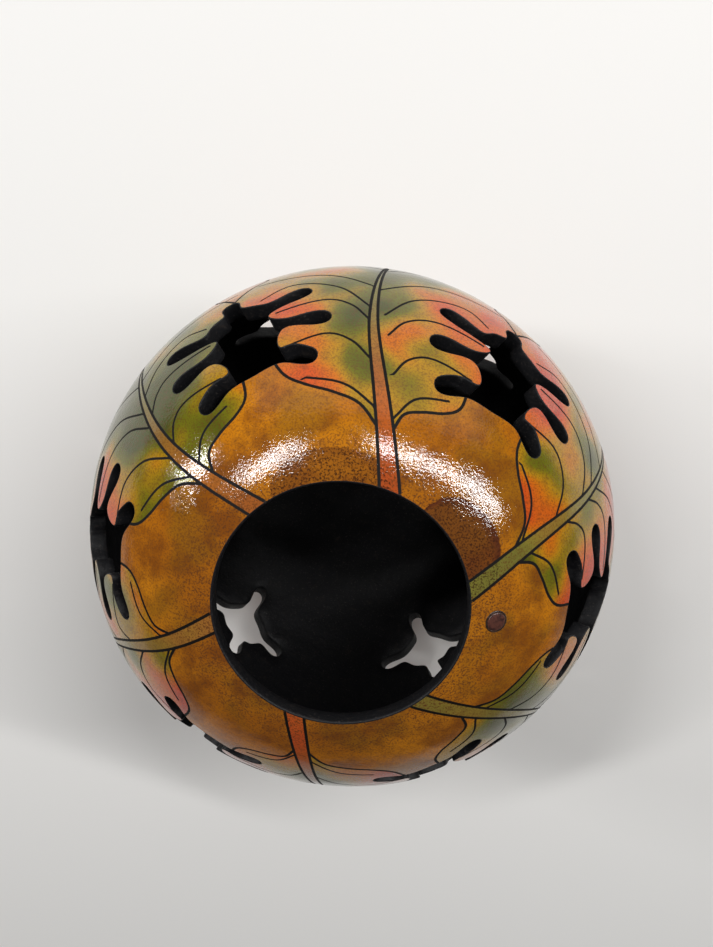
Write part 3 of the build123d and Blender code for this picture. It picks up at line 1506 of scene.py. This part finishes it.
@dataclass(frozen=True)
class DyedVarnish:
    """Amber dye, coloured leaves and burned lines under gloss varnish, with dark reflections painted in
    beside the mouth.
    """

    amber: tuple = (0.385, 0.122, 0.004)
    amber_light: tuple = (0.57, 0.205, 0.006)
    amber_dark: tuple = (0.155, 0.041, 0.004)
    amber_green: tuple = (0.235, 0.10, 0.005)
    reflection_and_scar_brown: tuple = (0.085, 0.022, 0.008)
    granule: tuple = (0.10, 0.034, 0.010)
    reflection_and_scar_granule: tuple = (0.030, 0.010, 0.005)
    burned: tuple = (0.006, 0.005, 0.004)
    stem_red: tuple = (0.42, 0.062, 0.014)
    rib_green: tuple = (0.17, 0.15, 0.028)
    leaf_stops: tuple = (
        (0.0, (0.050, 0.062, 0.007)),
        (0.20, (0.13, 0.125, 0.006)),
        (0.38, (0.38, 0.195, 0.007)),
        (0.54, (0.50, 0.135, 0.006)),
        (0.74, (0.52, 0.072, 0.008)),
        (0.90, (0.44, 0.042, 0.014)),
        (1.0, (0.50, 0.085, 0.045)),
    )
    gloss: float = 0.07
    varnish_ior: float = 1.5
    burned_roughness: float = 0.6
    burned_shine: float = 0.12

    def ground(self, g: Graph) -> Sock:
        """Colour the amber between the leaves, with painted dark reflections: browner near the mouth and in
        patches beside it.

        Args:
            g: The finish's graph.

        Returns:
            The colour.
        """
        colour = g.mix(g.noise(31.0, 2.0, 0.5).step(0.44, 0.64) * 0.75, self.amber, self.amber_light)
        colour = g.mix(g.noise(24.0, 2.0, 0.5, 0.3).step(0.50, 0.66) * 0.7, colour, self.amber_green)
        colour = g.mix(g.noise(13.0, 3.0, 0.55).step(0.44, 0.66) * 0.7, colour, self.amber_dark)
        # Painted dark reflection: the amber turns browner within 30 mm of the mouth.
        colour = g.mix(g.attribute("run").step(30.0, 2.0) * 0.3, colour, self.reflection_and_scar_brown)
        # Painted dark reflections in patches beside the mouth; the same mix gives the blossom scar its own
        # dark brown.
        within = g.attribute("stain") + (g.noise(3.0, 3.0, 0.6) - 0.5) * 2.0
        reflection_and_scar_share = within.step(-0.3, 0.5) * (0.62 + within.step(5.0, 0.5) * 0.38)
        return g.mix(reflection_and_scar_share * g.attribute("stain_dark"), colour, self.reflection_and_scar_brown)

    def leaf(self, g: Graph) -> Sock:
        """Colour the leaves from green at the midrib to red at the lobes, with red or green stems.

        Args:
            g: The finish's graph.

        Returns:
            The colour.
        """
        hue = g.attribute("lobe") * 0.55 + (g.noise(27.0, 1.5, 0.45) - 0.5) * 2.1
        hue = hue + g.attribute("tone") + 0.17
        colour = g.node("ShaderNodeValToRGB", {"stops": self.leaf_stops}, {"Fac": hue}, "Color")
        share = g.attribute("run").step(75.0, 12.0) * g.attribute("stem")
        return g.mix(g.attribute("rib") * 0.8, colour, g.mix(share, self.rib_green, self.stem_red))

    def grained(self, g: Graph, colour: Sock) -> Sock:
        """Speckle a colour with the shell's grain, which is coarser near the mouth.

        Args:
            g: The finish's graph.
            colour: The colour under the grain.

        Returns:
            The speckled colour.
        """
        coarse = 0.5 + g.attribute("run").step(22.0, 4.0) * 0.42
        # Grain specks turn darker within the painted dark reflections and on the blossom scar.
        speck = g.mix(g.attribute("stain").step(-0.3, 0.5), self.granule, self.reflection_and_scar_granule)
        colour = g.mix(g.noise(0.65, 3.0, 0.7).step(0.46, 0.62) * coarse, colour, speck)
        return g.mix(g.noise(4.0, 3.0, 0.6).step(0.52, 0.72) * 0.28, colour, self.granule)

    def surface(self, g: Graph) -> Sock:
        """Let the varnish lie uneven: broad swells, ripples, the one crinkle and fine sparkle.

        Args:
            g: The finish's graph.

        Returns:
            The normal.
        """
        normal = g.bump(g.noise(34.0, 2.0, 0.4), 1.0, 1.2)
        normal = g.bump(g.noise(6.0, 2.0, 0.5), 1.0, 0.10, normal)
        normal = g.bump(g.noise(2.2, 1.0, 0.5, 1.6) * g.attribute("crinkle"), 1.0, 1.4, normal)
        return g.bump(g.noise(0.7, 2.0, 0.5), 1.0, 0.065, normal)

    def make(self) -> bpy.types.Material:
        """Build the finish, with the burned lines matt and ragged over it.

        Returns:
            The material.
        """
        g = Graph("dyed_varnish")
        colour = self.grained(g, g.mix(g.attribute("leaf"), self.ground(g), self.leaf(g)))
        line = (g.attribute("burn") + (g.noise(1.1, 3.0, 0.6) - 0.5) * 0.3).step(1.0, 0.72)
        matt = {"Roughness": self.burned_roughness, "Specular IOR Level": self.burned_shine}
        g.cover(line, {"Base Color": (*self.burned, 1.0), **matt})
        shine = {"Roughness": self.gloss, "IOR": self.varnish_ior}
        return g.finish({"Base Color": colour, "Normal": self.surface(g), **shine})


@dataclass(frozen=True)
class BlackPaint:
    """Black paint brushed over the inside and the sawn walls, with pale specks painted in as glints on its
    rough grain.
    """

    black: tuple = (0.006, 0.006, 0.007)
    worn: tuple = (0.035, 0.026, 0.02)
    # Colour of the painted glints.
    speck: tuple = (0.06, 0.05, 0.045)
    shine: float = 0.22

    def make(self) -> bpy.types.Material:
        """Build the finish.

        Returns:
            The material.
        """
        g = Graph("black_paint")
        brush = g.noise(4.0, 4.0, 0.6, 0.6)
        colour = g.mix(brush.step(0.55, 0.85) * 0.6, self.black, self.worn)
        # Painted glints: pale specks scattered over the black.
        colour = g.mix(g.noise(0.8, 2.0, 0.6).step(0.58, 0.74) * 0.5, colour, self.speck)
        normal = g.bump(g.noise(1.4, 3.0, 0.6), 0.5, 0.3)
        normal = g.bump(brush, 0.4, 0.8, normal)
        rough = 0.4 + brush * 0.25
        sockets = {"Base Color": colour, "Roughness": rough, "Normal": normal}
        return g.finish({**sockets, "Specular IOR Level": self.shine})


@dataclass(frozen=True)
class PlugWood:
    """End grain of a dark dowel under varnish."""

    light: tuple = (0.085, 0.030, 0.021)
    dark: tuple = (0.032, 0.012, 0.010)

    def make(self) -> bpy.types.Material:
        """Build the finish.

        Returns:
            The material.
        """
        g = Graph("plug_wood")
        pores = g.noise(0.5, 3.0, 0.6)
        colour = g.mix(g.noise(1.6, 2.0, 0.5, 0.8).step(0.4, 0.65), self.light, self.dark)
        colour = g.mix(pores.step(0.55, 0.7) * 0.6, colour, self.dark)
        normal = g.bump(pores, 0.35, 0.15)
        return g.finish({"Base Color": colour, "Roughness": 0.22 + pores * 0.2, "Normal": normal})


@dataclass(frozen=True)
class GlueFinish:
    """Dark squeezed-out glue round the plug."""

    dark: tuple = (0.02, 0.012, 0.008)
    brown: tuple = (0.07, 0.03, 0.015)

    def make(self) -> bpy.types.Material:
        """Build the finish.

        Returns:
            The material.
        """
        g = Graph("glue")
        grain = g.noise(0.8, 2.0, 0.5)
        colour = g.mix(grain.step(0.4, 0.7) * 0.5, self.dark, self.brown)
        normal = g.bump(grain, 0.3, 0.2)
        return g.finish({"Base Color": colour, "Roughness": 0.2 + grain * 0.3, "Normal": normal})


@dataclass
class DowelPlug:
    """The dowel plug and its ring of glue, in millimetres and degrees.

    The plug's head rises in insets, given as shares of its flat radius. A wave of the glue is
    (share, waves round the plug, phase).
    """

    form: GourdForm = field(default_factory=GourdForm)
    seat: PlugSeat = field(default_factory=PlugSeat)
    sides: int = 64
    bevel: float = 0.5
    bevel_segments: int = 4
    dome_insets: tuple = (0.18, 0.27, 0.30)
    dome_rise: float = 0.054
    smooth_angle: float = 50.0
    glue_radius: float = 0.42
    glue_offset: float = 0.15
    glue_flatness: float = 0.45
    glue_segments: tuple = (96, 14)
    glue_waves: tuple = ((0.25, 3.0, 0.6), (0.15, 7.0, 0.0))

    def stand(self, piece: bpy.types.Object) -> None:
        """Move a piece made about the origin to the plug's seat, with its place in its mesh.

        Args:
            piece: The piece's object.
        """
        foot, east, north, outward = self.seat.axes(self.form)
        foot = self.form.grown(foot[None, :])[0] * MM
        turn = Matrix((east, north, outward)).transposed().to_4x4()
        piece.data.transform(Matrix.Translation(foot) @ turn)
        piece.data.update()

    def select_head(self, plug: bpy.types.Object) -> None:
        """Select the largest face that looks up, and nothing else, and go into edit mode.

        Args:
            plug: The plug's object.
        """
        bpy.ops.object.mode_set(mode="EDIT")
        bpy.ops.mesh.select_mode(type="FACE")
        bpy.ops.mesh.select_all(action="DESELECT")
        bpy.ops.object.mode_set(mode="OBJECT")
        head = max(plug.data.polygons, key=lambda face: face.area * max(face.normal.z, 0.0))
        head.select = True
        bpy.ops.object.mode_set(mode="EDIT")

    def build(self, wood: bpy.types.Material) -> bpy.types.Object:
        """Turn the plug: a cylinder with a rounded, slightly domed head.

        Args:
            wood: Its finish.

        Returns:
            The plug's object.
        """
        bpy.ops.object.select_all(action="DESELECT")
        length = (self.form.wall + self.seat.proud) * MM
        radius = self.seat.diameter / 2.0 * MM
        middle = (0.0, 0.0, self.seat.proud * MM - length / 2.0)
        bpy.ops.mesh.primitive_cylinder_add(
            vertices=self.sides, radius=radius, depth=length, location=middle
        )
        plug = bpy.context.object
        plug.name = plug.data.name = "dowel_plug"
        bpy.ops.object.transform_apply(location=True, rotation=True, scale=True)
        self.select_head(plug)
        bpy.ops.mesh.bevel(
            offset=self.bevel * MM, segments=self.bevel_segments, affect="EDGES", clamp_overlap=True
        )
        self.select_head(plug)
        for share in self.dome_insets:
            bpy.ops.mesh.inset(thickness=share * (radius - self.bevel * MM), depth=self.dome_rise * MM)
        bpy.ops.mesh.poke()
        bpy.ops.object.mode_set(mode="OBJECT")
        bpy.ops.object.shade_smooth_by_angle(angle=math.radians(self.smooth_angle))
        plug.data.materials.append(wood)
        self.stand(plug)
        return plug

    def build_glue(self, glue: bpy.types.Material) -> bpy.types.Object:
        """Squeeze a thin uneven bead of glue round the plug's foot.

        Args:
            glue: Its finish.

        Returns:
            The bead's object.
        """
        bpy.ops.object.select_all(action="DESELECT")
        round_plug, round_bead = self.glue_segments
        bpy.ops.mesh.primitive_torus_add(
            major_radius=(self.seat.diameter / 2.0 + self.glue_offset) * MM,
            minor_radius=self.glue_radius * MM,
            major_segments=round_plug,
            minor_segments=round_bead,
        )
        bead = bpy.context.object
        bead.name = bead.data.name = "glue_bead"
        for vertex in bead.data.vertices:
            turn = math.atan2(vertex.co.y, vertex.co.x)
            swell = 1.0
            for share, count, phase in self.glue_waves:
                swell += share * math.sin(count * turn + phase)
            vertex.co.z *= self.glue_flatness * swell
        bpy.ops.object.shade_smooth()
        bead.data.materials.append(glue)
        self.stand(bead)
        return bead


@dataclass(frozen=True)
class StripLamp:
    """A soft strip lamp that reaches from one direction to another, as seen from the bowl, in metres."""

    name: str
    start: tuple
    end: tuple
    depth: float
    radiance: float
    distance: float = 1.2

    def hang(self, middle: np.ndarray) -> None:
        """Hang the lamp so that it faces the bowl's middle.

        Args:
            middle: The bowl's middle, in metres.
        """
        first, last = (Vector(way).normalized() * self.distance for way in (self.start, self.end))
        back = (first + last).normalized()
        along = last - first
        across = (along - along.dot(back) * back).normalized()
        light = bpy.data.lights.new(self.name, "AREA")
        light.shape = "RECTANGLE"
        light.size, light.size_y = along.length, self.depth
        light.energy = self.radiance * math.pi * light.size * light.size_y
        lamp = bpy.data.objects.new(self.name, light)
        turn = Matrix((across, back.cross(across), back)).transposed().to_4x4()
        lamp.matrix_world = Matrix.Translation(Vector(middle) + (first + last) / 2.0) @ turn
        bpy.context.scene.collection.objects.link(lamp)


@dataclass(frozen=True)
class Studio:
    """Floor, lamps and camera. The camera's values fit the photograph's outline and mouth."""

    picture: tuple = (713, 947)
    focal_pixels: float = 800.0
    distance_mm: float = 331.3
    tilt: float = 17.69
    roll: float = 8.01
    middle_offset: tuple = (-4.8, 51.3)
    sensor: float = 36.0
    nearest: float = 0.01
    floor_half: float = 3.0
    floor_colour: tuple = (0.80, 0.79, 0.77)
    floor_roughness: float = 0.9
    world_strength: float = 0.045
    lamps: tuple = (
        StripLamp("left_strip", (-0.66, 0.22, 0.72), (-0.34, 0.50, 0.80), 0.058, 58.0),
        StripLamp("right_strip", (0.04, 0.62, 0.80), (0.80, 0.25, 0.58), 0.050, 60.0),
        StripLamp("left_window", (-0.90, 0.12, 0.40), (-0.84, 0.30, 0.46), 0.04, 120.0),
        StripLamp("wall", (-0.9, 1.0, 0.3), (0.9, 1.0, 0.3), 0.9, 0.55, 1.6),
    )

    def floor(self) -> None:
        """Lay a plain pale floor under the bowl."""
        bpy.ops.object.select_all(action="DESELECT")
        bpy.ops.mesh.primitive_plane_add(size=2.0 * self.floor_half, location=(0.0, 0.0, 0.0))
        floor = bpy.context.object
        floor.name = "floor"
        pale = {"Base Color": (*self.floor_colour, 1.0), "Roughness": self.floor_roughness}
        floor.data.materials.append(Graph("floor").finish(pale))

    def light(self, form: GourdForm) -> None:
        """Set the world and hang the lamps round the gourd's middle.

        Args:
            form: The gourd's section.
        """
        world = bpy.data.worlds.new("studio")
        world.use_nodes = True
        background = world.node_tree.nodes["Background"]
        background.inputs["Color"].default_value = (1.0, 1.0, 1.0, 1.0)
        background.inputs["Strength"].default_value = self.world_strength
        bpy.context.scene.world = world
        for lamp in self.lamps:
            lamp.hang(form.middle * MM)

    def camera(self, form: GourdForm) -> None:
        """Set the camera over the mouth at the photograph's angle.

        Args:
            form: The gourd's section, whose middle the camera looks past.
        """
        tilt = math.radians(self.tilt)
        back = Vector((0.0, math.sin(tilt), math.cos(tilt)))
        basis = Matrix(((1.0, 0.0, 0.0), (0.0, math.cos(tilt), -math.sin(tilt)), back)).transposed()
        yaw, pitch = (math.atan(offset / self.focal_pixels) for offset in self.middle_offset)
        turn = basis @ Matrix.Rotation(math.radians(self.roll), 3, "Z")
        turn = turn @ Matrix.Rotation(pitch, 3, "X") @ Matrix.Rotation(yaw, 3, "Y")
        data = bpy.data.cameras.new("camera")
        data.sensor_width = self.sensor
        data.lens = self.focal_pixels * self.sensor / max(self.picture)
        data.clip_start = self.nearest
        camera = bpy.data.objects.new("camera", data)
        place = Vector(form.middle * MM) + back * (self.distance_mm * MM)
        camera.matrix_world = Matrix.Translation(place) @ turn.to_4x4()
        bpy.context.scene.collection.objects.link(camera)
        bpy.context.scene.camera = camera


def ride(piece: bpy.types.Object, slot: str) -> None:
    """Let a piece ride on the bowl's one body, and log its faces with a slot of the record.

    Args:
        piece: The piece's object.
        slot: The record's material slot.
    """
    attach(piece, ROOT_BODY)
    LOG.info("%s: %d faces on %s", piece.name, len(piece.data.polygons), slot)


def main() -> None:
    """Build the bowl, the floor, the lamps and the camera."""
    logging.basicConfig(level=logging.INFO, format="%(name)s: %(message)s")
    form = GourdForm()
    shell = CarvedShell(form).build(DyedVarnish().make(), BlackPaint().make())
    ride(shell, "dyed_shell")
    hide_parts("gourd_shell")
    dowel = DowelPlug(form)
    plug = dowel.build(PlugWood().make())
    ride(plug, "plug_wood")
    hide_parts("wood_plug")
    bead = dowel.build_glue(GlueFinish().make())
    ride(bead, "plug_wood")
    studio = Studio()
    studio.floor()
    studio.light(form)
    studio.camera(form)
    bpy.context.scene.view_settings.view_transform = "Standard"


if __name__ == "__main__":
    main()
